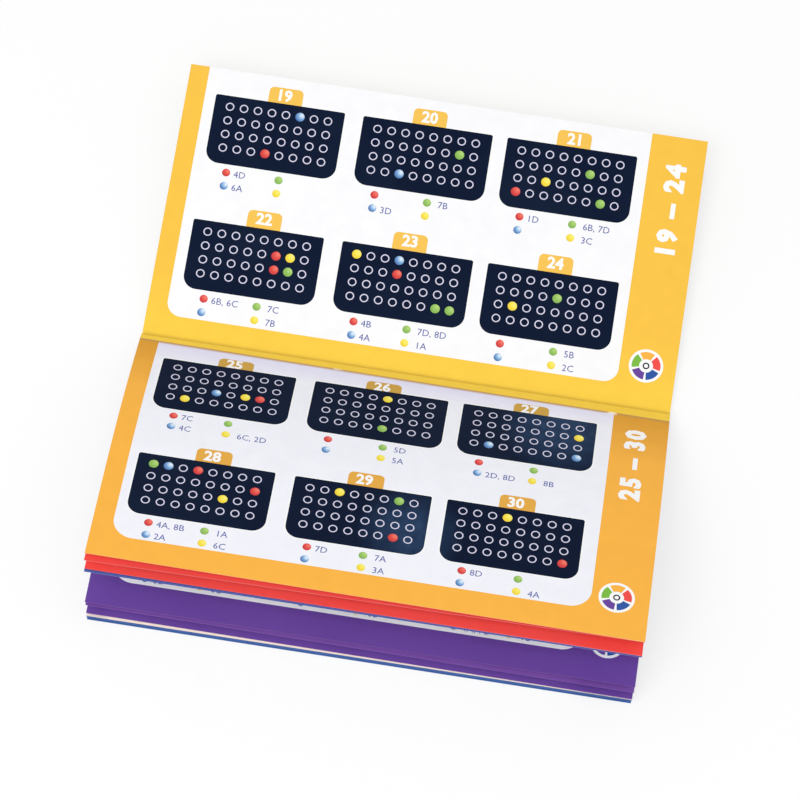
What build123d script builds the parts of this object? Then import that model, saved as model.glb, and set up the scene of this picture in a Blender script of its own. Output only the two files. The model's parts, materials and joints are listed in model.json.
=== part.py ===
"""Saddle-stitched puzzle booklet, lying open on a table.

Eight folded sheets, nested in each other, are held by two wire staples through their folds.
Each sheet gives two leaves, so the booklet has two cover boards and fourteen inner leaves.
X runs along the spine, -Y is the reader's side, +Y the far side, and Z is up from the table.
Every leaf turns about one line along X, the middle of the nested folds.
"""

import os
from math import cos, hypot, pi, radians, sin

from build123d import *

# Sheets
page_width = 132.0
page_depth = 73.2
leaf_thickness = 0.14
cover_thickness = 0.20
sheet_gap = 0.06
inner_sheets = 7

# Folds: the part of each sheet that stays at the spine
fold_reach = 0.80
leaf_start = 1.10
cover_fold_reach = 1.20
cover_start = 1.30

# Staples
wire_thickness = 0.40
wire_width = 0.50
wire_bend_radius = 0.40
staple_crown = 12.9
staple_spacing = 61.2
clinch_length = 5.4
crown_clearance = 0.05
slit_clearance = 0.08

# How far each leaf is open, in degrees up from the reader's side of the table
open_angles = {
    "leaf_01": 178.4,
    "leaf_02": 176.3,
    "leaf_03": 173.8,
    "leaf_04": 21.5,
    "leaf_05": 20.3,
    "leaf_06": 17.3,
    "leaf_07": 17.25,
    "leaf_08": 17.7,
    "leaf_09": 7.4,
    "leaf_10": 5.75,
    "leaf_11": 2.35,
    "leaf_12": 1.3,
    "leaf_13": 0.95,
    "leaf_14": 0.6,
}

# A leaf lifted off the block springs up steeply at the fold and flattens towards its free edge.
# Each pair is a share of the depth and the slope there, as a share of the leaf's open angle.
lifted_bow = [(0.0, 1.46), (0.25, 1.27), (0.6, 0.84), (1.0, 0.77)]
flat_bow = [(0.0, 1.0), (1.0, 1.0)]

# Places that follow from the sizes above
leaf_count = 2 * inner_sheets
sheet_pitch = leaf_thickness + sheet_gap
inmost_radius = hypot(wire_thickness, wire_width) / 2 + sheet_gap + leaf_thickness / 2
outmost_radius = inmost_radius + (inner_sheets - 1) * sheet_pitch
crown_height = wire_thickness / 2
arch_height = wire_thickness + crown_clearance
cover_radius = outmost_radius + leaf_thickness / 2 + sheet_gap + arch_height + cover_thickness / 2
axis_height = cover_radius + cover_thickness / 2
staple_places = [-staple_spacing / 2, staple_spacing / 2]


def leaf_name(number):
    return f"leaf_{number:02d}"


def sheet_radius(sheet):
    """Distance of a sheet from the turning line, counted from the outside of the booklet."""
    return inmost_radius + (inner_sheets - sheet) * sheet_pitch


def along(angle):
    """Direction from the spine to the free edge, in (Y, Z)."""
    return Vector(-cos(angle), sin(angle))


def square_to(angle):
    """Direction square to the leaf, on the side that faces up when it lies on the reader's side."""
    return Vector(sin(angle), cos(angle))


def bow_points(start, slopes, lengths):
    """Points at the joints and the middles of tangent arcs, each with its slope."""
    points = [(start, slopes[0])]
    place = start
    for first, last, length in zip(slopes, slopes[1:], lengths):
        middle = (first + last) / 2
        for low, high in ((first, middle), (middle, last)):
            mean = (low + high) / 2
            bend = (high - low) / 2
            chord = length / 2 * (sin(bend) / bend if bend else 1.0)
            place = place + along(mean) * chord
            points.append((place, high))
    return points


def strip_section(points, thickness):
    """Closed section of a strip whose middle line runs through tangent arcs."""
    half = thickness / 2
    upper = [place + square_to(slope) * half for place, slope in points]
    lower = [place - square_to(slope) * half for place, slope in points]
    bent = abs(points[0][1] - points[-1][1]) > 1e-9
    with BuildSketch(Plane.YZ) as section:
        with BuildLine():
            for side in (upper, lower):
                if bent:
                    for index in range(0, len(side) - 2, 2):
                        ThreePointArc(*side[index:index + 3])
                else:
                    Line(side[0], side[-1])
            Line(upper[0], lower[0])
            Line(upper[-1], lower[-1])
        make_face()
    return section.sketch


def leaf_solid(radius, angle, bow, start, thickness):
    """One leaf from its fold to its free edge. The radius is negative for a leaf of the rear half."""
    depths = [share * page_depth for share, slope_share in bow]
    slopes = [angle * slope_share for share, slope_share in bow]
    spring = slopes[0]
    first_length = depths[1] - depths[0]
    start_slope = spring + (slopes[1] - spring) * start / first_length
    mean = (spring + start_slope) / 2
    root = Vector(0, axis_height) + square_to(spring) * radius + along(mean) * start
    lengths = [depths[1] - start]
    lengths += [after - before for before, after in zip(depths[1:], depths[2:])]
    points = bow_points(root, [start_slope] + slopes[1:], lengths)
    return extrude(strip_section(points, thickness), page_width / 2, both=True)


def staple_slits():
    """Cuts through the spine where the staple legs pierce it."""
    slit_length = wire_thickness + 2 * slit_clearance
    slit_width = wire_width + 2 * slit_clearance
    slits = []
    for place in staple_places:
        for side in (-1, 1):
            leg = place + side * (staple_crown - wire_thickness) / 2
            slits.append(Pos(leg, 0, axis_height / 2) * Box(slit_length, slit_width, axis_height))
    return slits


def flat_fold(sheet):
    """Fold of a sheet that has one leaf on each side: a flat strip across the spine."""
    height = axis_height - sheet_radius(sheet)
    strip = Pos(0, 0, height) * Box(page_width, 2 * fold_reach, leaf_thickness)
    return strip - staple_slits()


def rolled_fold(sheet, front_angle, rear_angle):
    """Fold of a sheet with both leaves on the reader's side: it rolls round the turning line."""
    radius = sheet_radius(sheet)
    centre = Vector(0, axis_height)
    half = leaf_thickness / 2
    middle = (front_angle + rear_angle) / 2

    with BuildSketch(Plane.YZ) as section:
        with BuildLine():
            for reach in (radius - half, radius + half):
                upper = centre + square_to(front_angle) * reach
                lower = centre - square_to(rear_angle) * reach
                crest = centre - along(middle) * reach
                Line(upper + along(front_angle) * fold_reach, upper)
                ThreePointArc(upper, crest, lower)
                Line(lower, lower + along(rear_angle) * fold_reach)
            for side, angle in ((1, front_angle), (-1, rear_angle)):
                edge = centre + along(angle) * fold_reach
                inner = edge + square_to(angle) * side * (radius - half)
                outer = edge + square_to(angle) * side * (radius + half)
                Line(inner, outer)
        make_face()
    return extrude(section.sketch, page_width / 2, both=True) - staple_slits()


def cover_fold():
    """Spine of the cover: it arches over the staple crowns, so the booklet lies flat."""
    with BuildSketch(Plane.YZ) as section:
        with BuildLine():
            for lift in (0.0, cover_thickness):
                crest = (0, lift + arch_height)
                for side in (-1, 1):
                    foot = (side * cover_fold_reach, lift)
                    shoulder = (side * cover_fold_reach / 2, lift + arch_height / 2)
                    TangentArc(foot, shoulder, tangent=(-side, 0))
                    TangentArc(crest, shoulder, tangent=(side, 0))
            for side in (-1, 1):
                Line((side * cover_fold_reach, 0), (side * cover_fold_reach, cover_thickness))
        make_face()
    return extrude(section.sketch, page_width / 2, both=True) - staple_slits()


def cover_board(side):
    """Flat cover: side is -1 for the back cover under the reader's leaves, 1 for the front cover."""
    depth = page_depth - cover_start
    middle = side * (cover_start + depth / 2)
    return Pos(0, middle, cover_thickness / 2) * Box(page_width, depth, cover_thickness)


def staple(place):
    """Flat wire staple: the crown under the spine, the legs up through the folds, the tips clinched inwards."""
    half = (staple_crown - wire_thickness) / 2
    tip = half - clinch_length
    route_points = [
        (-tip, axis_height),
        (-half, axis_height),
        (-half, crown_height),
        (half, crown_height),
        (half, axis_height),
        (tip, axis_height),
    ]
    with BuildPart() as wire:
        with BuildSketch(Plane.XZ):
            with BuildLine():
                FilletPolyline(*route_points, radius=wire_bend_radius)
            trace(line_width=wire_thickness)
        extrude(amount=wire_width / 2, both=True)
    return Pos(place, 0, 0) * wire.part


def build_parts():
    parts = {
        "cover_front": cover_board(1),
        "cover_back": cover_board(-1),
        "cover_fold": cover_fold(),
        "staple_left": staple(staple_places[0]),
        "staple_right": staple(staple_places[1]),
    }
    spring_slope = lifted_bow[0][1]
    for number in range(1, leaf_count + 1):
        name = leaf_name(number)
        angle = radians(open_angles[name])
        front_half = number <= inner_sheets
        sheet = number if front_half else leaf_count + 1 - number
        radius = sheet_radius(sheet) if front_half else -sheet_radius(sheet)
        lifted = angle < pi / 2
        bow = lifted_bow if lifted else flat_bow
        parts[name] = leaf_solid(radius, angle, bow, leaf_start, leaf_thickness)

    for sheet in range(1, inner_sheets + 1):
        front_angle = radians(open_angles[leaf_name(sheet)])
        rear_angle = radians(open_angles[leaf_name(leaf_count + 1 - sheet)])
        if front_angle > pi / 2:
            fold = flat_fold(sheet)
        else:
            fold = rolled_fold(sheet, front_angle * spring_slope, rear_angle * spring_slope)
        parts[f"sheet_{sheet}_fold"] = fold
    return parts


os.makedirs("parts", exist_ok=True)
for name, part in build_parts().items():
    part.label = name
    export_step(part, f"parts/{name}.step")
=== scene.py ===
"""Looks of the saddle-stitched puzzle booklet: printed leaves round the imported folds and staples."""

import json
import math
import random

import bmesh
import bpy
import numpy as np
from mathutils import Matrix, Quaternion, Vector


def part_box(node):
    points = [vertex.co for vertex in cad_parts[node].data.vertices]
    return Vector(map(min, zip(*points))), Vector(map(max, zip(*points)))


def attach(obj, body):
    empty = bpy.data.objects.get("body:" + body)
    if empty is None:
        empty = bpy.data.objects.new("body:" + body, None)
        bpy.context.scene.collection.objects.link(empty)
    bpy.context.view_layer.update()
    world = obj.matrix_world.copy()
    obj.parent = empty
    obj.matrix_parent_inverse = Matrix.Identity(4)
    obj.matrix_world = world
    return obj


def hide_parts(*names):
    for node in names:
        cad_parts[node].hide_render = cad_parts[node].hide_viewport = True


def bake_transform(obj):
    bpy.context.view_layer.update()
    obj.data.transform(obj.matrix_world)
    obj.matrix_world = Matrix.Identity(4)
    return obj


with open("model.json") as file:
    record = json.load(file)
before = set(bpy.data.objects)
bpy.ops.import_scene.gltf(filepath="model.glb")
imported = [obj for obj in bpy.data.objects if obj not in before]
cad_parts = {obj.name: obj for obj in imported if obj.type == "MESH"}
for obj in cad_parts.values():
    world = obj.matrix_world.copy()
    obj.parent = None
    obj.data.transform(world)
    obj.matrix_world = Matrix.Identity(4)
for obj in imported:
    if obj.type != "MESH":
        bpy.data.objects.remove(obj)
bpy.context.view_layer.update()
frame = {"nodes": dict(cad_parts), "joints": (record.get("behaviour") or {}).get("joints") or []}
mm = 0.001


# Sizes read from the frame, in millimetres
def heights_of(name):
    """Lowest and highest point of a node above the table."""
    low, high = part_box(name)
    return low.z / mm, high.z / mm


back_low, back_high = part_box("cover_back")
page_width = (back_high.x - back_low.x) / mm
page_depth = -back_low.y / mm
cover_thickness = (back_high.z - back_low.z) / mm
axis_height = frame["joints"][0]["pos_m"][2] / mm
fold_1_low, fold_1_high = heights_of("sheet_1_fold")
fold_2_low = heights_of("sheet_2_fold")[0]
leaf_thickness = fold_1_high - fold_1_low
sheet_pitch = fold_2_low - fold_1_low
outmost_radius = axis_height - (fold_1_low + fold_1_high) / 2
cover_radius = axis_height - cover_thickness / 2
inner_sheets = 7
leaf_count = 2 * inner_sheets

# The leaf whose face A is the near page of the open booklet
near_page = 4

# How far each leaf is open, in degrees up from the reader's side of the table
open_angles = {
    1: 178.4,
    2: 176.3,
    3: 173.8,
    4: 21.5,
    5: 20.3,
    6: 17.3,
    7: 17.25,
    8: 17.7,
    9: 7.4,
    10: 5.75,
    11: 2.35,
    12: 1.3,
    13: 0.95,
    14: 0.6,
}

# How much longer a leaf's cut edge stands at its left and right ends, in millimetres.
# The difference grows with a high power of the depth, so it shows only near that edge.
trims = {
    3: (0.44, 0.3),
    4: (0.0, 0.8),
    5: (0.6, -0.6),
    6: (-0.3, 0.15),
    10: (-0.35, 0.45),
    11: (-0.15, 0.35),
}
trim_power = 8

# Share of the depth, and slope there as a share of the open angle
lifted_bow = [(0.0, 1.46), (0.25, 1.27), (0.6, 0.84), (1.0, 0.77)]
flat_bow = [(0.0, 1.0), (1.0, 1.0)]

# Steps along the curve of a leaf, which runs on past the page for the trims, in millimetres
curve_step = 0.05
curve_spare = 1.0

# Where the paper leaves its fold, and where its closer rows by the fold end, in millimetres from the
# fold
paper_start = 0.78
bend_end = 1.75

# Rows and columns of a sheet's mesh
bend_rows = 20
paper_rows = 62
paper_columns = 24

# Ink layers, counted from the paper up, and the thickness of one in millimetres
ink_lift = 0.010
rim_layer = 0.5
base_layer = 1
mark_layer = 2
peg_layer = 3

# Layers that a cover's card leaves room for on each face
card_layers = 4

# Printed layout, in pitches between two holes of a printed board, by face of a leaf where it differs
pitch = 3.5727
hole_columns = 8
hole_rows = 4
hole_row_step = 1.0278
row_letters = "ABCD"
boards_per_page = 6
solutions_per_page = 20
key_leaf = 1
first_puzzle_leaf = 2
first_solution_leaf = 12
board_columns = [0.0, 10.546, 20.827]
board_rows = [0.0, 9.387]
first_hole = {"A": (3.1, 3.035), "B": (3.245, 2.633)}
panel_bottom = {"A": 18.77, "B": 18.45}
panel_left = 1.35
panel_right = {"A": 33.1, "B": 33.0}
panel_radius = {"A": 1.45, "B": 1.05}
board_edges = {"left": -1.12, "right": 8.12, "top": -0.815, "bottom": 4.275}
board_rim = 0.09
board_top_radius = 0.15
board_bottom_radius = 0.95
ring_radius = 0.304
ring_stroke = 0.078
peg_radius = 0.33

# Number tabs: shifts go by column of boards and rises by row
tab_edges = {"A": (2.37, 4.8), "B": (2.55, 4.97)}
tab_shifts = {"A": (0.27, 0.0, -0.06), "B": (0.02, -0.21, -0.21)}
tab_rises = {"A": (0.92, 1.14), "B": (1.17, 1.27)}
tab_radius = 0.35
number_middle = {"A": 3.48, "B": 3.74}
number_rises = {"A": (0.44, 0.57), "B": (0.6, 0.71)}
number_height = 0.79
number_weight = 0.05

# Legend under a board: places from its first hole, right and down
legend_balls = [("red", 0.54, 4.88), ("blue", 0.54, 5.87), ("green", 4.27, 4.88), ("yellow", 4.27, 5.87)]
legend_ball_radius = 0.29
legend_text_gap = {"red": 0.53, "blue": 0.53, "green": 0.75, "yellow": 0.75}
legend_drop = 0.28
legend_height = 0.475

# Range of puzzle numbers at the right of a page
range_middle = {"A": (34.75, 5.8), "B": (35.03, 5.29)}
range_height = 1.25
range_weight = 0.085
range_spacing = 1.25

# Badge of the levels: turns in degrees from the right, and its arcs and ring as shares of its radius
level_order = ("green", "orange", "red", "blue", "purple")
badge_middle = {"A": (34.76, 17.56), "B": (34.85, 16.91)}
badge_radius = 1.2
badge_arc_radii = (0.4, 0.84)
badge_first_turn = 198
badge_arc_turn = 360 / len(level_order)
badge_gap = 5.157
badge_ring_radius = 0.2
badge_ring_stroke = 0.08

# Own puzzles: their seed, how many colours one may have, and how many pegs of a colour
puzzle_seed = 1000
colour_counts = [2, 3, 3, 4]
peg_counts = [1, 1, 2]

# How far a leaf's print and panels stand up the page, in pitches
print_rises = {9: 0.18}
panel_rises = {9: 0.15}

# How finely flat printed shapes are divided, in pitches and in steps
row_step = 0.33
cell_width = 1.5
figure_edge = 0.4
figure_splits = 3
corner_steps = 9
arc_steps = 13
stamp_corners = 20

# Height of a figure as a share of its font's size, and weight of thin figures
figure_share = 0.69
thin_weight = 0.02

# How far the painted shade of a near margin and the painted light of a far margin reach from the fold,
# and where a panel's painted gutter shade begins to fade and where it ends, in millimetres
margin_light_and_shade_fade = 20.0
gutter_shade_fade = (1.5, 9.0)

# Softness of a panel's edge, and how far the panel runs off the top of the page, in millimetres
panel_blur = 0.03
panel_overrun = 100.0

# The ink of the far page runs over the fold and ends on the near page, in millimetres from the fold.
# The slant is how much further it runs for each millimetre to the right.
bleed_end = 2.0
bleed_slant = 0.0095
bleed_blur = 0.06
# Painted crease shadow: where it fades out past the end of the far page's ink
crease_shadow_fade = (0.25, 1.1)

# Paler patches on the near page's boards: right of its middle, away from the fold, and reach, in
# millimetres
pale_patches = [(40.0, 12.5, 16.0), (8.0, 53.0, 13.0)]


# Colours
def tone(text):
    """Linear colour of a six-figure colour name."""
    parts = [int(text[i:i + 2], 16) / 255 for i in (0, 2, 4)]
    linear = [p / 12.92 if p <= 0.04045 else ((p + 0.055) / 1.055) ** 2.4 for p in parts]
    return (*linear, 1.0)


level_inks = {
    "white": "F6EAEC",
    "green": "7FBE46",
    "orange": "FFB948",
    "red": "F5514C",
    "blue": "2F58A6",
    "purple": "6B469F",
}

# Margins whose ink isn't that of their level
margin_inks = {10: "7A4EA6", 12: "FBE9DD", 13: "4068AE", 14: "4068AE"}
# Painted shade on the near page's orange margin where it runs into the fold
near_fold_painted_shade = "DE9D30"
far_margin_ink = "FDC849"
# Painted light on the far page's orange margin by the fold, which also runs over the fold onto the near
# page
far_fold_painted_light = "FFD549"

# Panels, away from the fold and close to it; close to the fold the near page's panel has painted shade
near_panel_ink_and_gutter_shade = ("F7F8FF", "E8E4FC")
hidden_panel_inks = ("FCFCFF", "FCFCFF")
far_panel_inks = ("FDFDFF", "FDFDFF")

# Shaded, middle and lit tone of each printed ball
peg_inks = {
    "red": ("C4363E", "E8544A", "F67C6D"),
    "blue": ("3A60A0", "84B4E4", "E6F4FF"),
    "green": ("82B254", "99C664", "B6D87C"),
    "yellow": ("F1CE3C", "FDEA50", "FFF17C"),
}
navy = "0C1830"
ring_tone = "DEDCF2"
legend_tone = "5660A8"
rub_tone = "8FB4E0"
# Tone of the paler streaky patches on the near page's boards
pale_patch_tone = "73A6E7"
# Painted shadow of the crease, and the pale worn nicks in it
crease_shadow_tone = "C89A55"
worn_crease_tone = "FFF6E6"
bare_paper_tone = "F4ECE6"
wire_tones = ("A9ABAE", "D5D6D8")
edge_tones = {
    "white": "F8E4E4",
    "green": "CFE3B4",
    "orange": "FFBE80",
    "red": "F07F7C",
    "blue": "8C86C4",
    "purple": "7F57A5",
}

# Finish of paper, ink and wire, with noise scales in bumps per metre
noise_band = (0.3, 0.7)
print_gloss = 0.15
mottle_scale = 260.0
mottle_shades = (0.975, 1.015)
gloss_scale = 90.0
paper_roughness = (0.34, 0.5)
tooth_scale = 9000.0
tooth_strength = 0.12
tooth_depth = 0.00002
crease_scale = 160.0
crease_wear = (0.66, 0.70)
ink_roughness = 0.38
dark_ink_roughness = 0.36
dark_ink_gloss = 0.04
rub_scale = 60.0
rub_band = (0.45, 0.8)
rub_share = 0.012
pale_patch_scale = 400.0
pale_patch_streaks = (0.5, 1.0)
pale_patch_core = 0.25
pale_patch_share = 0.13
wire_stretch = (300.0, 9000.0, 9000.0)
wire_roughness = (0.24, 0.42)

# Edge between the inks of a fold, and depth of its bare cut ends, in metres
fold_ink_blur = 0.00001
fold_cut_depth = 0.00003

# Light on a printed ball: its spot and its fades, as shares of the ball's width
ball_lit_spot = (0.72, 0.72, 0.0)
ball_lit_fade = (0.05, 0.42)
ball_shaded_fade = (0.38, 0.82)


# Materials
def node(tree, kind, inputs=None, **settings):
    """Adds a node, with its settings and its inputs given as values or as sockets to link."""
    made = tree.nodes.new(kind)
    for name, value in settings.items():
        setattr(made, name, value)
    for key, value in (inputs or {}).items():
        if isinstance(value, bpy.types.NodeSocket):
            tree.links.new(value, made.inputs[key])
        else:
            made.inputs[key].default_value = value
    return made


def number_math(tree, operation, *values):
    """Result of an operation on numbers or sockets."""
    return node(tree, "ShaderNodeMath", dict(enumerate(values)), operation=operation).outputs[0]


def vector_math(tree, operation, *values, output="Vector"):
    """Result of an operation on vectors or sockets."""
    made = node(tree, "ShaderNodeVectorMath", dict(enumerate(values)), operation=operation)
    return made.outputs[output]


def new_material(name, roughness=None):
    """Material with little gloss. Its roughness is set here unless a pattern gives it later."""
    material = bpy.data.materials.new(name)
    material.use_nodes = True
    tree = material.node_tree
    shader = tree.nodes["Principled BSDF"]
    shader.inputs["Specular IOR Level"].default_value = print_gloss
    if roughness is not None:
        shader.inputs["Roughness"].default_value = roughness
    return material, tree, shader


def mixed(tree, share, first, second):
    """Colour mix of two colours or sockets. Inputs 0, 6 and 7 of the node are its share and colours."""
    made = node(tree, "ShaderNodeMix", data_type="RGBA")
    for key, value in ((0, share), (6, first), (7, second)):
        if isinstance(value, bpy.types.NodeSocket):
            tree.links.new(value, made.inputs[key])
        else:
            made.inputs[key].default_value = value
    return made.outputs[2]


def own_place(tree):
    return node(tree, "ShaderNodeTexCoord").outputs["Object"]


def noise(tree, scale, detail):
    """Noise over the object's own coordinates, with the scale in bumps per metre."""
    inputs = {"Vector": own_place(tree), "Scale": scale, "Detail": detail}
    return node(tree, "ShaderNodeTexNoise", inputs).outputs["Fac"]


def spread(tree, value, low, high, new_low=0.0, new_high=1.0):
    """Spreads a value between two limits over a new range."""
    inputs = {"Value": value, "From Min": low, "From Max": high, "To Min": new_low, "To Max": new_high}
    return node(tree, "ShaderNodeMapRange", inputs).outputs["Result"]


def paper_surface(tree, shader, colour):
    """Coated paper: faint mottle in the colour, uneven gloss and a very fine tooth."""
    shade = spread(tree, noise(tree, mottle_scale, detail=4.0), *noise_band, *mottle_shades)
    tree.links.new(vector_math(tree, "MULTIPLY", colour, shade), shader.inputs["Base Color"])
    gloss = spread(tree, noise(tree, gloss_scale, detail=3.0), *noise_band, *paper_roughness)
    tree.links.new(gloss, shader.inputs["Roughness"])
    tooth = noise(tree, tooth_scale, detail=2.0)
    inputs = {"Height": tooth, "Strength": tooth_strength, "Distance": tooth_depth}
    bump = node(tree, "ShaderNodeBump", inputs)
    tree.links.new(bump.outputs["Normal"], shader.inputs["Normal"])


def bleed_over(tree, colour, along, from_fold):
    """Lays the far page's fold yellow, with its painted light, over a colour near the fold, up to a
    painted crease shadow flecked with pale worn nicks.
    """
    slant = number_math(tree, "MULTIPLY", along, bleed_slant)
    past = number_math(tree, "SUBTRACT", from_fold, slant)
    end = bleed_end - bleed_slant * page_width / 2
    wear = spread(tree, noise(tree, crease_scale, detail=1.0), *crease_wear)
    crease = mixed(tree, wear, tone(crease_shadow_tone), tone(worn_crease_tone))
    # Painted crease shadow just past the end of the far page's ink
    on_crease = spread(tree, past, end + crease_shadow_fade[0], end + crease_shadow_fade[1], 1.0, 0.0)
    on_bleed = spread(tree, past, end - bleed_blur, end + bleed_blur, 1.0, 0.0)
    return mixed(tree, on_bleed, mixed(tree, on_crease, colour, crease), tone(far_fold_painted_light))


def page_paper(name, face, margin_ink, fold_light_and_shade, panel_tone, gutter_painted_shade, rise=0.0, bleeds=False):
    """A printed page: coloured margin round a pale panel, both changing towards the fold, where the near
    page has painted shade and the far page's margin painted light.

    The panel is a rounded rectangle that runs off the top of the page."""
    material, tree, shader = new_material(name)
    uv = node(tree, "ShaderNodeUVMap", uv_map="page").outputs["UV"]
    spot = vector_math(tree, "MULTIPLY", uv, (page_width, page_depth, 0.0))
    radius = panel_radius[face] * pitch
    middle = ((panel_left + panel_right[face]) / 2 * pitch, -panel_overrun, 0.0)
    half = (panel_right[face] - panel_left) / 2 * pitch - radius
    reach = (half, (panel_bottom[face] - rise) * pitch + panel_overrun - radius, 0.0)
    away = vector_math(tree, "ABSOLUTE", vector_math(tree, "SUBTRACT", spot, middle))
    beyond = vector_math(tree, "SUBTRACT", away, reach)
    beyond = vector_math(tree, "MAXIMUM", beyond, (0.0, 0.0, 0.0))
    distance = vector_math(tree, "LENGTH", beyond, output="Value")
    on_panel = spread(tree, distance, radius - panel_blur, radius + panel_blur, 1.0, 0.0)
    axes = node(tree, "ShaderNodeSeparateXYZ", {"Vector": spot}).outputs
    from_fold = axes["Y"] if face == "A" else number_math(tree, "SUBTRACT", page_depth, axes["Y"])
    # Margin colour at the fold: painted shade on a near face, painted light on a far face
    margin = mixed(tree, spread(tree, from_fold, 0.0, margin_light_and_shade_fade), tone(fold_light_and_shade), tone(margin_ink))
    # Panel colour with painted gutter shade towards the fold
    panel = mixed(tree, spread(tree, from_fold, *gutter_shade_fade), tone(gutter_painted_shade), tone(panel_tone))
    colour = mixed(tree, on_panel, margin, panel)
    if bleeds:
        colour = bleed_over(tree, colour, axes["X"], from_fold)
    paper_surface(tree, shader, colour)
    return material


def plain_paper(name, colour):
    material, tree, shader = new_material(name)
    base = node(tree, "ShaderNodeRGB")
    base.outputs[0].default_value = tone(colour)
    paper_surface(tree, shader, base.outputs[0])
    return material


def ink(name, colour):
    """Plain printed ink."""
    material, tree, shader = new_material(name, ink_roughness)
    shader.inputs["Base Color"].default_value = tone(colour)
    return material


def dark_ink(name, colour, pale_patch_places=()):
    """Dark printed ink, faintly mottled pale, and paler in streaky patches round some places, each in
    metres with its reach.
    """
    material, tree, shader = new_material(name, dark_ink_roughness)
    shader.inputs["Specular IOR Level"].default_value = dark_ink_gloss
    rubbed = spread(tree, noise(tree, rub_scale, detail=4.0), *rub_band, 0.0, rub_share)
    shade = mixed(tree, rubbed, tone(colour), tone(rub_tone))
    for spot, reach in pale_patch_places:
        away = vector_math(tree, "DISTANCE", own_place(tree), spot, output="Value")
        near = spread(tree, away, reach * pale_patch_core, reach, pale_patch_share, 0.0)
        streaks = spread(tree, noise(tree, pale_patch_scale, detail=4.0), *noise_band, *pale_patch_streaks)
        share = number_math(tree, "MULTIPLY", near, streaks)
        shade = mixed(tree, share, shade, tone(pale_patch_tone))
    tree.links.new(shade, shader.inputs["Base Color"])
    return material


def fold_paper(name, upper_ink, lower_ink, split):
    """Paper of a fold: its ink changes where the sheet turns, and its cut ends are bare.

    The split is the axis that parts the two inks and the place along it, in metres."""
    material, tree, shader = new_material(name)
    axes = node(tree, "ShaderNodeSeparateXYZ", {"Vector": own_place(tree)}).outputs
    axis, level = split
    above = spread(tree, axes[axis], level - fold_ink_blur, level + fold_ink_blur)
    colour = mixed(tree, above, tone(lower_ink), tone(upper_ink))
    out = number_math(tree, "ABSOLUTE", axes["X"])
    end = page_width / 2 * mm
    cut = spread(tree, out, end - fold_cut_depth, end - fold_ink_blur)
    paper_surface(tree, shader, mixed(tree, cut, colour, tone(bare_paper_tone)))
    return material


def ball_ink(name, dark, middle, light):
    """A printed ball: lit at its upper right and darker towards its lower left rim."""
    material, tree, shader = new_material(name, ink_roughness)
    uv = node(tree, "ShaderNodeUVMap", uv_map="ball").outputs["UV"]
    away = vector_math(tree, "DISTANCE", uv, ball_lit_spot, output="Value")
    lit = mixed(tree, spread(tree, away, *ball_lit_fade), tone(light), tone(middle))
    shaded = mixed(tree, spread(tree, away, *ball_shaded_fade), lit, tone(dark))
    tree.links.new(shaded, shader.inputs["Base Color"])
    return material


def wire_metal():
    """Drawn zinc-plated wire with fine streaks along the crown."""
    material, tree, shader = new_material("staple_wire")
    stretch = {"Vector": own_place(tree), "Scale": wire_stretch}
    along = node(tree, "ShaderNodeMapping", stretch).outputs[0]
    streaks = node(tree, "ShaderNodeTexNoise", {"Vector": along, "Scale": 1.0}).outputs["Fac"]
    dull, bright = wire_tones
    shade = mixed(tree, streaks, tone(dull), tone(bright))
    tree.links.new(shade, shader.inputs["Base Color"])
    tree.links.new(spread(tree, streaks, *noise_band, *wire_roughness), shader.inputs["Roughness"])
    shader.inputs["Metallic"].default_value = 1.0
    return material


level_leaves = {
    "white": (1, 12, 13, 14),
    "green": (2,),
    "orange": (3, 4),
    "red": (5, 6),
    "blue": (7, 8),
    "purple": (9, 10, 11),
}
level_of = {number: level for level, numbers in level_leaves.items() for number in numbers}


def page_pair(number):
    """The papers of both faces of a leaf."""
    level = level_of[number]
    margin = margin_inks.get(number, level_inks[level])
    # The near page's orange margin darkens towards the fold with painted shade
    near_margin_and_fold_shade = (margin, near_fold_painted_shade if level == "orange" else margin)
    # The far page's orange margin lightens towards the fold with painted light
    far_margin_and_fold_light = (far_margin_ink, far_fold_painted_light) if level == "orange" else (margin, margin)
    near_panel_and_shade = near_panel_ink_and_gutter_shade if number == near_page else hidden_panel_inks
    rise = panel_rises.get(number, 0.0)
    name = f"page_{number:02d}_"
    near = page_paper(name + "A", "A", *near_margin_and_fold_shade, *near_panel_and_shade, rise, bleeds=number == near_page)
    far = page_paper(name + "B", "B", *far_margin_and_fold_light, *far_panel_inks)
    return near, far


edge_papers = {level: plain_paper(f"cut_edge_{level}", colour) for level, colour in edge_tones.items()}
blue_edge = plain_paper("cut_edge_back", "5C7BB6")
cover_paper = plain_paper("cover_card", "2C5AA6")
card_inside = plain_paper("cover_inside", "4068AE")
board_ink = dark_ink("board_ink", navy)
ring_ink = ink("ring_ink", ring_tone)
white_ink = ink("white_ink", "FFFFFF")
legend_ink = ink("legend_ink", legend_tone)
tab_inks = {level: ink(f"tab_ink_{level}", colour) for level, colour in level_inks.items()}

# Tabs of the orange pages, by face and by row of boards. The near page's top row, by the fold, is
# darkened with painted gutter shade.
orange_tab_inks = {
    ("A", 0): ink("tab_ink_gutter_shade", "D2A648"),
    ("A", 1): ink("tab_ink_amber", "E9AE48"),
    ("B", 0): ink("tab_ink_orange_far", "FBC857"),
    ("B", 1): ink("tab_ink_orange_low", "FBC857"),
}
ball_inks = {name: ball_ink(f"ball_ink_{name}", *tones) for name, tones in peg_inks.items()}
metal = wire_metal()


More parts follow.
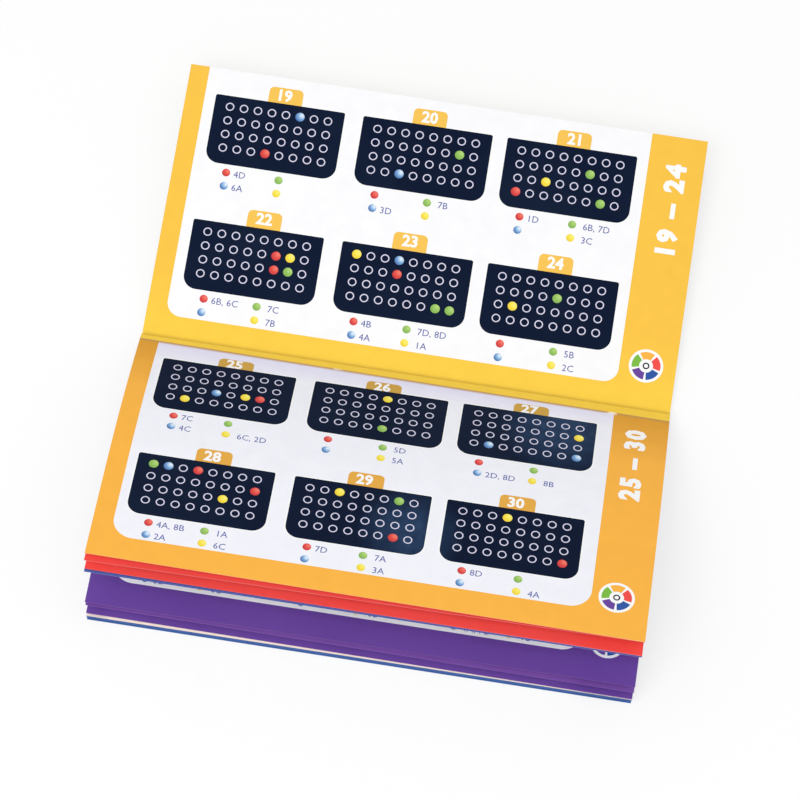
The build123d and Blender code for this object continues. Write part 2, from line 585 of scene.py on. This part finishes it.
# Shape of the leaves
class Leaf:
    """Curved surface of a leaf or cover. Depth runs along the paper from the spine to the free edge."""

    def __init__(self, name, body, angle, radius, thickness, trim=(0.0, 0.0)):
        self.name = name
        self.body = body
        self.half = thickness / 2
        self.trim = trim
        bow = lifted_bow if angle < 90 else flat_bow
        length = page_depth + curve_spare
        self.depths = np.linspace(0.0, length, round(length / curve_step) + 1)
        shares = np.minimum(1.0, self.depths / page_depth)
        self.slopes = math.radians(angle) * np.interp(shares, *zip(*bow))
        means = (self.slopes[1:] + self.slopes[:-1]) / 2
        steps = np.diff(self.depths)
        spring = self.slopes[0]
        across = np.concatenate([[0.0], np.cumsum(-np.cos(means) * steps)])
        rise = np.concatenate([[0.0], np.cumsum(np.sin(means) * steps)])
        self.across = across + math.sin(spring) * radius
        self.rise = rise + axis_height + math.cos(spring) * radius

    def point(self, x, depth, lift):
        """Places on the leaf, in millimetres.

        Lift is square to the paper, upwards on the face that is read on the reader's side."""
        y = np.interp(depth, self.depths, self.across)
        z = np.interp(depth, self.depths, self.rise)
        slope = np.interp(depth, self.depths, self.slopes)
        return np.stack([x + 0 * depth, y + np.sin(slope) * lift, z + np.cos(slope) * lift], axis=-1)

    def on_face(self, face, spots, lift):
        """Places of printed spots, given in pitches right and up from the page's top left corner."""
        x = spots[:, 0] * pitch - page_width / 2
        down = -spots[:, 1] * pitch
        depth = down if face == "A" else page_depth - down
        side = 1 if face == "A" else -1
        return self.point(x, depth, side * (self.half + lift))


def leaf_radius(number):
    """Distance of a leaf from the turning line, negative for the rear half of the booklet."""
    front = number <= inner_sheets
    sheet = number if front else leaf_count + 1 - number
    radius = outmost_radius - (sheet - 1) * sheet_pitch
    return radius if front else -radius


leaves = {}
for number, angle in open_angles.items():
    name = f"leaf_{number:02d}"
    trim = trims.get(number, (0.0, 0.0))
    leaves[number] = Leaf(name, name, angle, leaf_radius(number), leaf_thickness, trim)
card_thickness = cover_thickness - 2 * card_layers * ink_lift
front_cover = Leaf("cover_front", "cover_front", 180.0, cover_radius, card_thickness)
back_cover = Leaf("cover_back", "spine", 0.0, -cover_radius, card_thickness)


def pale_patch_places(leaf):
    """Middle and reach of each pale patch of a leaf, in metres."""
    places = []
    for x, depth, reach in pale_patches:
        middle = leaf.point(np.array([x]), np.array([depth]), leaf.half)[0] * mm
        places.append((tuple(middle), reach * mm))
    return places


patched_board_ink = dark_ink("patched_board_ink", navy, pale_patch_places(leaves[near_page]))


def mesh_object(name, points, faces, face_materials, materials, uv_name, uv_points):
    """A mesh object from places in millimetres, with a UV map given by vertex."""
    mesh = bpy.data.meshes.new(name)
    mesh.from_pydata((np.asarray(points) * mm).tolist(), [], faces)
    for material in materials:
        mesh.materials.append(material)
    mesh.polygons.foreach_set("material_index", face_materials)
    layer = mesh.uv_layers.new(name=uv_name)
    corners = np.zeros(len(mesh.loops), np.int32)
    mesh.loops.foreach_get("vertex_index", corners)
    layer.data.foreach_set("uv", np.asarray(uv_points, float)[corners].astype(np.float32).ravel())
    mesh.validate()
    made = bpy.data.objects.new(name, mesh)
    bpy.context.scene.collection.objects.link(made)
    return made


def paper_sheet(leaf, page_a, page_b, edge):
    """One leaf as a closed thin sheet, with a material for each face and for its cut edges."""
    bend = np.linspace(paper_start, bend_end, bend_rows, endpoint=False)
    depths = np.concatenate([bend, np.linspace(bend_end, page_depth, paper_rows)])
    across = np.linspace(-page_width / 2, page_width / 2, paper_columns + 1)
    rows, columns = len(depths), len(across)
    depth_grid, x_grid = np.meshgrid(depths, across, indexing="ij")
    extra = np.interp(x_grid, [-page_width / 2, page_width / 2], leaf.trim)
    depth_grid = depth_grid + extra * (depth_grid / page_depth) ** trim_power
    points = []
    spots = []
    for side in (1, -1):
        points.append(leaf.point(x_grid, depth_grid, side * leaf.half).reshape(-1, 3))
        down = depth_grid if side == 1 else page_depth - depth_grid
        share = np.stack([x_grid / page_width + 0.5, down / page_depth], axis=-1)
        spots.append(share.reshape(-1, 2))
    count = rows * columns
    faces = []
    kinds = []
    for row in range(rows - 1):
        for column in range(columns - 1):
            a = row * columns + column
            b = a + columns
            faces.append((a, b, b + 1, a + 1))
            kinds.append(0)
            faces.append((a + count, a + 1 + count, b + 1 + count, b + count))
            kinds.append(1)
    rim = [row * columns for row in range(rows)]
    rim += [(rows - 1) * columns + column for column in range(1, columns)]
    rim += [row * columns + columns - 1 for row in range(rows - 2, -1, -1)]
    rim += [column for column in range(columns - 2, 0, -1)]
    for first, second in zip(rim, rim[1:] + rim[:1]):
        faces.append((first, first + count, second + count, second))
        kinds.append(2)
    made = mesh_object(
        leaf.name + "_paper",
        np.concatenate(points),
        faces,
        kinds,
        [page_a, page_b, edge],
        "page",
        np.concatenate(spots),
    )
    for face in made.data.polygons:
        face.use_smooth = face.material_index < 2
    on_rim = set(rim) | {place + count for place in rim}
    for edge_line in made.data.edges:
        edge_line.use_edge_sharp = on_rim.issuperset(edge_line.vertices)
    return made


# Flat printed shapes, in pitches, right and up from the page's top left corner
def rounded_patch(left, right, top, bottom, top_radius, bottom_radius):
    """Rounded rectangle in level rows, so that it can follow a bowed page.

    Its top and bottom are given downwards."""
    turns = np.linspace(0, math.pi / 2, corner_steps)
    rows = [(top, 0.0)]
    if top_radius:
        rows = [(top + top_radius * (1 - math.cos(t)), top_radius * (1 - math.sin(t))) for t in turns]
    level = rows[-1][0]
    last = bottom - bottom_radius
    between = int(max(0, (last - level) / row_step))
    rows += [(level + (last - level) * (i + 1) / (between + 1), 0.0) for i in range(between)]
    if bottom_radius:
        for turn in turns[::-1] if last > level else turns[-2::-1]:
            down = bottom - bottom_radius * (1 - math.cos(turn))
            rows.append((down, bottom_radius * (1 - math.sin(turn))))
    else:
        rows.append((bottom, 0.0))
    cells = max(1, int((right - left) / cell_width))
    points = []
    for down, inset in rows:
        for i in range(cells + 1):
            points.append((left + inset + (right - left - 2 * inset) * i / cells, -down))
    faces = []
    for row in range(len(rows) - 1):
        for i in range(cells):
            a = row * (cells + 1) + i
            b = a + cells + 1
            faces.append((a, b, b + 1, a + 1))
    return np.array(points), faces


def disc_patch(x, down, radius):
    return rounded_patch(x - radius, x + radius, down - radius, down + radius, radius, radius)


def arc_patch(x, down, inner, outer, start, end):
    """Part of a flat ring between two turns, in degrees from the right."""
    turns = np.linspace(math.radians(start), math.radians(end), arc_steps)
    points = []
    for reach in (inner, outer):
        points.append(np.stack([x + reach * np.cos(turns), -down + reach * np.sin(turns)], axis=-1))
    faces = [(i, i + arc_steps, i + arc_steps + 1, i + 1) for i in range(arc_steps - 1)]
    return np.concatenate(points), faces


def divide_long_edges(mesh, longest):
    """Splits long edges, so that a flat shape can follow the bow of a page."""
    work = bmesh.new()
    work.from_mesh(mesh)
    bmesh.ops.triangulate(work, faces=work.faces)
    for split in range(figure_splits):
        long_edges = [edge for edge in work.edges if edge.calc_length() > longest]
        bmesh.ops.subdivide_edges(work, edges=long_edges, cuts=1)
        bmesh.ops.triangulate(work, faces=work.faces)
    work.to_mesh(mesh)
    work.free()


glyph_store = {}


def figures(text, height, weight, spacing=1.0):
    """Flat mesh of a short line of plain figures from the origin. Weight thickens the strokes."""
    key = (text, height, weight, spacing)
    if key not in glyph_store:
        line = bpy.data.curves.new("figures", "FONT")
        line.body = text
        line.size = height / figure_share
        line.offset = weight * height
        line.space_character = spacing
        line.resolution_u = 2
        holder = bpy.data.objects.new("figures", line)
        bpy.context.scene.collection.objects.link(holder)
        mesh = bpy.data.meshes.new_from_object(holder)
        bpy.data.objects.remove(holder)
        bpy.data.curves.remove(line)
        divide_long_edges(mesh, figure_edge)
        glyph_store[key] = flat_patch(mesh)
        bpy.data.meshes.remove(mesh)
    return glyph_store[key]


def flat_patch(mesh):
    """Points and faces of a flat mesh."""
    points = np.zeros(len(mesh.vertices) * 3)
    mesh.vertices.foreach_get("co", points)
    return points.reshape(-1, 3)[:, :2], [tuple(face.vertices) for face in mesh.polygons]


def circle(tree, corners, radius):
    inputs = {"Resolution": corners, "Radius": radius}
    return node(tree, "GeometryNodeCurvePrimitiveCircle", inputs).outputs["Curve"]


def stamp_tree(name, hollow):
    """Geometry Nodes tree that stamps a disc, or a ring where hollow, on every point of a mesh."""
    tree = bpy.data.node_groups.new(name, "GeometryNodeTree")
    sizes = {"Radius": "Float", "Stroke": "Float", "Corners": "Int", "Material": "Material"}
    tree.interface.new_socket("Geometry", in_out="INPUT", socket_type="NodeSocketGeometry")
    for label, kind in sizes.items():
        tree.interface.new_socket(label, in_out="INPUT", socket_type="NodeSocket" + kind)
    tree.interface.new_socket("Geometry", in_out="OUTPUT", socket_type="NodeSocketGeometry")
    given = node(tree, "NodeGroupInput").outputs
    outline = circle(tree, given["Corners"], given["Radius"])
    if hollow:
        inner = number_math(tree, "SUBTRACT", given["Radius"], given["Stroke"])
        both = node(tree, "GeometryNodeJoinGeometry")
        for ring in (outline, circle(tree, given["Corners"], inner)):
            tree.links.new(ring, both.inputs[0])
        outline = both.outputs[0]
    shape = node(tree, "GeometryNodeFillCurve", {"Curve": outline}).outputs[0]
    spots = {"Points": given["Geometry"], "Instance": shape}
    stamps = node(tree, "GeometryNodeInstanceOnPoints", spots).outputs[0]
    real = node(tree, "GeometryNodeRealizeInstances", {"Geometry": stamps}).outputs[0]
    finish = {"Geometry": real, "Material": given["Material"]}
    dressed = node(tree, "GeometryNodeSetMaterial", finish).outputs[0]
    node(tree, "NodeGroupOutput", {"Geometry": dressed})
    return tree


ring_tree = stamp_tree("ring_stamp", True)
disc_tree = stamp_tree("disc_stamp", False)


def stamped(tree, spots, radius, material, stroke=0.0):
    """Flat rings or discs on a list of spots, as one patch."""
    mesh = bpy.data.meshes.new("stamp_spots")
    mesh.from_pydata([(x, y, 0) for x, y in spots], [], [])
    holder = bpy.data.objects.new("stamp_spots", mesh)
    bpy.context.scene.collection.objects.link(holder)
    modifier = holder.modifiers.new("stamp", "NODES")
    modifier.node_group = tree
    values = {"Radius": radius, "Stroke": stroke, "Corners": stamp_corners, "Material": material}
    for item in tree.interface.items_tree:
        if item.in_out == "INPUT" and item.name in values:
            modifier[item.identifier] = values[item.name]
    depsgraph = bpy.context.evaluated_depsgraph_get()
    result = bpy.data.meshes.new_from_object(holder.evaluated_get(depsgraph))
    patch = flat_patch(result)
    bpy.data.objects.remove(holder)
    bpy.data.meshes.remove(mesh)
    bpy.data.meshes.remove(result)
    return patch


# Print
class Print:
    """Printed shapes of one leaf, gathered from both faces into one mesh."""

    def __init__(self, leaf):
        self.leaf = leaf
        self.points = []
        self.faces = []
        self.kinds = []
        self.shades = []
        self.materials = []
        self.count = 0

    def add(self, face, patch, layer, material, shades=None, shift=(0.0, 0.0)):
        """Adds a flat patch on a face of the leaf, on an ink layer."""
        spots, faces = patch
        moved = spots + np.array(shift)
        self.points.append(self.leaf.on_face(face, moved, layer * ink_lift))
        self.shades.append(np.zeros((len(spots), 2)) if shades is None else shades)
        if material not in self.materials:
            self.materials.append(material)
        kind = self.materials.index(material)
        self.faces += [tuple(i + self.count for i in corner) for corner in faces]
        self.kinds += [kind] * len(faces)
        self.count += len(spots)

    def finish(self):
        return mesh_object(
            self.leaf.name + "_print",
            np.concatenate(self.points),
            self.faces,
            self.kinds,
            self.materials,
            "ball",
            np.concatenate(self.shades),
        )


def ball_shades(spots, centres, radius):
    """Place of each point in its own ball, from 0 to 1 both ways."""
    gaps = spots[:, None, :] - np.array(centres)[None, :, :]
    nearest = np.argmin((gaps ** 2).sum(-1), axis=1)
    return gaps[np.arange(len(spots)), nearest] / (2 * radius) + 0.5


def puzzle_pegs(number):
    """Own puzzle for a number: a few pegs of each colour, as (colour, column, row)."""
    draw = random.Random(puzzle_seed + number)
    colour_count = draw.choice(colour_counts)
    colours = draw.sample(sorted(peg_inks), colour_count)
    free = [(column, row) for column in range(hole_columns) for row in range(hole_rows)]
    pegs = []
    for colour in colours:
        for peg in range(draw.choice(peg_counts)):
            column, row = free.pop(draw.randrange(len(free)))
            pegs.append((colour, column, row))
    return sorted(pegs, key=lambda peg: (peg[2], peg[1]))


def board_patch(x, down, scale, rim=0.0):
    """A board round its first hole, larger by a rim all round."""
    return rounded_patch(
        x + scale * board_edges["left"] - rim,
        x + scale * board_edges["right"] + rim,
        down + scale * board_edges["top"] - rim,
        down + scale * board_edges["bottom"] + rim,
        scale * board_top_radius + rim,
        scale * board_bottom_radius + rim,
    )


def place_balls(made, face, balls, radius, layer):
    for colour, spots in balls.items():
        if spots:
            patch = stamped(disc_tree, spots, radius, ball_inks[colour])
            made.add(face, patch, layer, ball_inks[colour], shades=ball_shades(patch[0], spots, radius))


def place_boards(made, face, boards, scale=1.0, base_ink=board_ink):
    """Dark boards with their holes and pegs. A board is the place of its first hole and its pegs."""
    holes = []
    balls = {colour: [] for colour in peg_inks}
    for x, down, pegs in boards:
        made.add(face, board_patch(x, down, scale, scale * board_rim), rim_layer, white_ink)
        made.add(face, board_patch(x, down, scale), base_layer, base_ink)
        for column in range(hole_columns):
            for row in range(hole_rows):
                holes.append((x + scale * column, -(down + scale * row * hole_row_step)))
        for colour, column, row in pegs:
            balls[colour].append((x + scale * column, -(down + scale * row * hole_row_step)))
    rings = stamped(ring_tree, holes, scale * ring_radius, ring_ink, scale * ring_stroke)
    made.add(face, rings, mark_layer, ring_ink)
    place_balls(made, face, balls, scale * peg_radius, peg_layer)


def place_words(made, face, text, middle, height, weight, layer, material, turned=False, spacing=1.0):
    """A line of figures round a middle, given right and down. Turned, it reads from the foot up."""
    spots, faces = figures(text, height, weight, spacing)
    if turned:
        spots = np.stack([-spots[:, 1], spots[:, 0]], axis=-1)
    centre = (spots.min(0) + spots.max(0)) / 2
    made.add(face, (spots, faces), layer, material, shift=np.array([middle[0], -middle[1]]) - centre)


def place_badge(made, face, middle, radius):
    """White disc with a ring of five equal arcs, one for each level, round a small ring."""
    x, down = middle
    inner, outer = badge_arc_radii
    made.add(face, disc_patch(x, down, radius), base_layer, white_ink)
    for index, level in enumerate(level_order):
        start = badge_first_turn - badge_arc_turn * index
        end = start - badge_arc_turn
        arc = arc_patch(x, down, radius * inner, radius * outer, end + badge_gap, start - badge_gap)
        made.add(face, arc, mark_layer, tab_inks[level])
    stroke = radius * badge_ring_stroke
    ring = stamped(ring_tree, [(x, -down)], radius * badge_ring_radius, board_ink, stroke)
    made.add(face, ring, mark_layer, board_ink)


def place_tab(made, face, x, top, row, number, level):
    """Coloured tab on top of a board, with the puzzle's number."""
    left, right = tab_edges[face]
    tab = rounded_patch(x + left, x + right, top - tab_rises[face][row], top, tab_radius, 0.0)
    tab_ink = orange_tab_inks[face, row] if level == "orange" else tab_inks[level]
    made.add(face, tab, base_layer, tab_ink)
    middle = (x + number_middle[face], top - number_rises[face][row])
    place_words(made, face, str(number), middle, number_height, number_weight, mark_layer, white_ink)


def place_legend(made, face, x, down, pegs):
    """Holes of each colour's pegs beside its ball. Gives the places of the balls."""
    notes = {colour: [] for colour in peg_inks}
    for colour, column, row in pegs:
        notes[colour].append(f"{column + 1}{row_letters[row]}")
    places = {}
    for colour, aside, below in legend_balls:
        places[colour] = (x + aside, -(down + below))
        if notes[colour]:
            note = figures(", ".join(notes[colour]), legend_height, 0.0)
            start = (x + aside + legend_text_gap[colour], -(down + below + legend_drop))
            made.add(face, note, base_layer, legend_ink, shift=start)
    return places


def print_puzzles(leaf, number):
    """Boards, pegs, tabs, numbers and legends on both faces of a puzzle leaf."""
    made = Print(leaf)
    level = level_of[number]
    first_number = 1 + 2 * boards_per_page * (number - first_puzzle_leaf)
    for face in ("A", "B"):
        x0, down0 = first_hole[face]
        down0 -= print_rises.get(number, 0.0)
        boards = []
        small_balls = {colour: [] for colour in peg_inks}
        for index in range(boards_per_page):
            row, column = divmod(index, len(board_columns))
            x = x0 + board_columns[column]
            down = down0 + board_rows[row]
            pegs = puzzle_pegs(first_number + index)
            boards.append((x, down, pegs))
            tab_x = x + tab_shifts[face][column]
            top = down + board_edges["top"]
            place_tab(made, face, tab_x, top, row, first_number + index, level)
            for colour, place in place_legend(made, face, x, down, pegs).items():
                small_balls[colour].append(place)
        base_ink = patched_board_ink if number == near_page and face == "A" else board_ink
        place_boards(made, face, boards, base_ink=base_ink)
        place_balls(made, face, small_balls, legend_ball_radius, base_layer)
        text = f"{first_number} \u2013 {first_number + boards_per_page - 1}"
        style = (range_height, range_weight, base_layer, white_ink)
        place_words(made, face, text, range_middle[face], *style, turned=True, spacing=range_spacing)
        place_badge(made, face, badge_middle[face], badge_radius)
        first_number += boards_per_page
    return made.finish()


def print_key(leaf):
    """One large board on both faces, with the column figures and row letters that the legends use."""
    made = Print(leaf)
    scale = 2.0
    x, down = 10.2, 6.6
    figure_rise = 2.6
    letter_gap = 3.3
    style = (1.1, thin_weight, base_layer, legend_ink)
    for face in ("A", "B"):
        place_boards(made, face, [(x, down, puzzle_pegs(0))], scale)
        for column in range(hole_columns):
            middle = (x + scale * column, down - figure_rise)
            place_words(made, face, str(column + 1), middle, *style)
        for row in range(hole_rows):
            middle = (x - letter_gap, down + scale * row * hole_row_step)
            place_words(made, face, row_letters[row], middle, *style)
    return made.finish()


def solved_pegs(draw):
    """Pegs of a solved board: runs of one colour, laid to and fro along its rows."""
    run_length = 4
    runs = hole_columns * hole_rows // run_length
    colours = [draw.choice(sorted(peg_inks)) for run in range(runs)]
    pegs = []
    for row in range(hole_rows):
        for step in range(hole_columns):
            column = step if row % 2 == 0 else hole_columns - 1 - step
            pegs.append((colours[len(pegs) // run_length], column, row))
    return pegs


def print_solutions(leaf, first_number):
    """Small solved boards on both faces, twenty to a page, each with its number."""
    made = Print(leaf)
    scale = 0.6
    boards_per_row = 5
    x0, down0 = 2.75, 2.3
    step_right, step_down = 6.25, 4.3
    number_right, number_rise = 2.1, 0.95
    style = (0.55, thin_weight, base_layer, legend_ink)
    draw = random.Random(first_number)
    for face in ("A", "B"):
        boards = []
        for index in range(solutions_per_page):
            row, column = divmod(index, boards_per_row)
            x = x0 + step_right * column
            down = down0 + step_down * row
            boards.append((x, down, solved_pegs(draw)))
            middle = (x + number_right, down - number_rise)
            place_words(made, face, str(first_number + index), middle, *style)
        place_boards(made, face, boards, scale)
        first_number += solutions_per_page
    return made.finish()


def print_cover(cover):
    """Outer print of a cover: a large board with pegs on the front, and the five level dots on both."""
    made = Print(cover)
    face = "A" if cover is front_cover else "B"
    middle_x = 18.5
    dots_down = 17.4 if cover is front_cover else 10.2
    dot_step = 2.6
    dot_radius, ink_radius = 0.95, 0.78
    if cover is front_cover:
        board_x, board_down = 11.7, 5.6
        pegs = sorted(puzzle_pegs(3) + puzzle_pegs(8))
        place_boards(made, face, [(board_x, board_down, pegs)], scale=1.9)
        title_down = 2.2
        style = (1.35, 0.04, base_layer, white_ink)
        place_words(made, face, "1 \u2013 120", (middle_x, title_down), *style, spacing=1.1)
    for index, level in enumerate(level_order):
        x = middle_x + dot_step * (index - len(level_order) // 2)
        made.add(face, disc_patch(x, dots_down, dot_radius), base_layer, white_ink)
        made.add(face, disc_patch(x, dots_down, ink_radius), mark_layer, tab_inks[level])
    return made.finish()


def spine_blend(piece, leaf):
    """Bakes a piece's placement into its mesh; the ends of the leaf's first stretch of paper are found
    but not used.
    """
    ends = leaf.point(np.zeros(2), np.array([paper_start, bend_end]), 0.0) * mm
    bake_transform(piece)


for number, leaf in leaves.items():
    level = level_of[number]
    edge = blue_edge if number > first_solution_leaf else edge_papers[level]
    sheet = paper_sheet(leaf, *page_pair(number), edge)
    spine_blend(sheet, leaf)
    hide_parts(leaf.name)
    if number == key_leaf:
        prints = print_key(leaf)
    elif number >= first_solution_leaf:
        prints = print_solutions(leaf, 1 + 2 * solutions_per_page * (number - first_solution_leaf))
    else:
        prints = print_puzzles(leaf, number)
    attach(prints, leaf.body)

for cover in (front_cover, back_cover):
    papers = (cover_paper, card_inside) if cover is front_cover else (card_inside, cover_paper)
    card = paper_sheet(cover, *papers, blue_edge)
    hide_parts(cover.name)
    prints = print_cover(cover)
    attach(prints, cover.body)
    if cover is front_cover:
        spine_blend(card, cover)
    else:
        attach(card, "spine")

# Folds and staples: upper and lower ink of each fold, and where they meet
above_axis = ("Z", axis_height * mm)
beyond_axis = ("Y", 0.0)
fold_inks = {
    "sheet_1_fold": (level_inks["white"], level_inks["white"], beyond_axis),
    "sheet_2_fold": (level_inks["green"], level_inks["white"], beyond_axis),
    "sheet_3_fold": (level_inks["orange"], level_inks["white"], beyond_axis),
    # Sheet 4's fold carries the far page's fold yellow with its painted light
    "sheet_4_fold": (far_fold_painted_light, level_inks["purple"], above_axis),
    "sheet_5_fold": (level_inks["red"], level_inks["purple"], above_axis),
    "sheet_6_fold": (level_inks["red"], level_inks["purple"], above_axis),
    "sheet_7_fold": (level_inks["blue"], level_inks["blue"], above_axis),
}
node_materials = {"cover_fold": cover_paper, "staple_left": metal, "staple_right": metal}
for name, (upper, lower, split) in fold_inks.items():
    node_materials[name] = fold_paper(name + "_paper", upper, lower, split)
for name, material in node_materials.items():
    for slot in frame["nodes"][name].material_slots:
        slot.material = material


# Stage, in metres
white = (1.0, 1.0, 1.0, 1.0)
floor_reach = 6.0
floor_drop = 0.00002
floor_glow = 0.7
floor_roughness = 0.9
sky_strength = 0.61
lamp_place = (-0.25, -0.55, 1.1)
lamp_size = 0.9
lamp_power = 7.8

# The camera's place and aim in millimetres, its roll in degrees, and its lens on its sensor's width
camera_place = (27.918, -330.837, 821.998)
camera_aim = (-0.307, -4.933, 0.0)
camera_roll = 4.055
camera_lens = 161.29
sensor_width = 36.0
camera_clips = (0.05, 50.0)


def seen_ray(tree):
    """1 on rays from the camera and on mirrored rays, 0 on the rays that light the object."""
    path = node(tree, "ShaderNodeLightPath").outputs
    return number_math(tree, "MAXIMUM", path["Is Camera Ray"], path["Is Glossy Ray"])


def make_floor():
    mesh = bpy.data.meshes.new("floor")
    near, far = -floor_reach, floor_reach
    corners = [(near, near, 0), (far, near, 0), (far, far, 0), (near, far, 0)]
    mesh.from_pydata(corners, [], [(0, 1, 2, 3)])
    floor = bpy.data.objects.new("floor", mesh)
    bpy.context.scene.collection.objects.link(floor)
    floor.location.z = -floor_drop
    material, tree, shader = new_material("floor_white", floor_roughness)
    shader.inputs["Base Color"].default_value = white
    shader.inputs["Specular IOR Level"].default_value = 0.0
    share = number_math(tree, "MULTIPLY", seen_ray(tree), floor_glow)
    glow = node(tree, "ShaderNodeEmission", {"Color": white, "Strength": 1.0}).outputs[0]
    both = node(tree, "ShaderNodeMixShader", {0: share, 1: shader.outputs[0], 2: glow}).outputs[0]
    tree.links.new(both, tree.nodes["Material Output"].inputs["Surface"])
    mesh.materials.append(material)


def make_lamp():
    """Large round soft lamp over the reader's side, turned to the booklet."""
    data = bpy.data.lights.new("key", "AREA")
    data.shape = "DISK"
    data.size = lamp_size
    data.energy = lamp_power
    lamp = bpy.data.objects.new("key", data)
    bpy.context.scene.collection.objects.link(lamp)
    lamp.location = lamp_place
    lamp.rotation_mode = "QUATERNION"
    lamp.rotation_quaternion = (-Vector(lamp_place)).to_track_quat("-Z", "Y")


def make_world():
    """Soft light from all round, seen as plain white."""
    world = bpy.data.worlds.new("studio")
    bpy.context.scene.world = world
    world.use_nodes = True
    tree = world.node_tree
    tree.nodes.clear()
    soft = node(tree, "ShaderNodeBackground", {"Color": white, "Strength": sky_strength}).outputs[0]
    seen = node(tree, "ShaderNodeBackground", {"Color": white, "Strength": 1.0}).outputs[0]
    choice = node(tree, "ShaderNodeMixShader", {0: seen_ray(tree), 1: soft, 2: seen}).outputs[0]
    node(tree, "ShaderNodeOutputWorld", {"Surface": choice})


def make_camera():
    place = Vector(camera_place) * mm
    aim = Vector(camera_aim) * mm
    roll = Quaternion((0, 0, 1), math.radians(camera_roll))
    data = bpy.data.cameras.new("camera")
    data.lens = camera_lens
    data.sensor_width = sensor_width
    data.clip_start, data.clip_end = camera_clips
    camera = bpy.data.objects.new("camera", data)
    bpy.context.scene.collection.objects.link(camera)
    camera.location = place
    camera.rotation_mode = "QUATERNION"
    camera.rotation_quaternion = (aim - place).to_track_quat("-Z", "Y") @ roll
    bpy.context.scene.camera = camera


make_floor()
make_world()
make_lamp()
make_camera()
bpy.context.scene.view_settings.view_transform = "Standard"
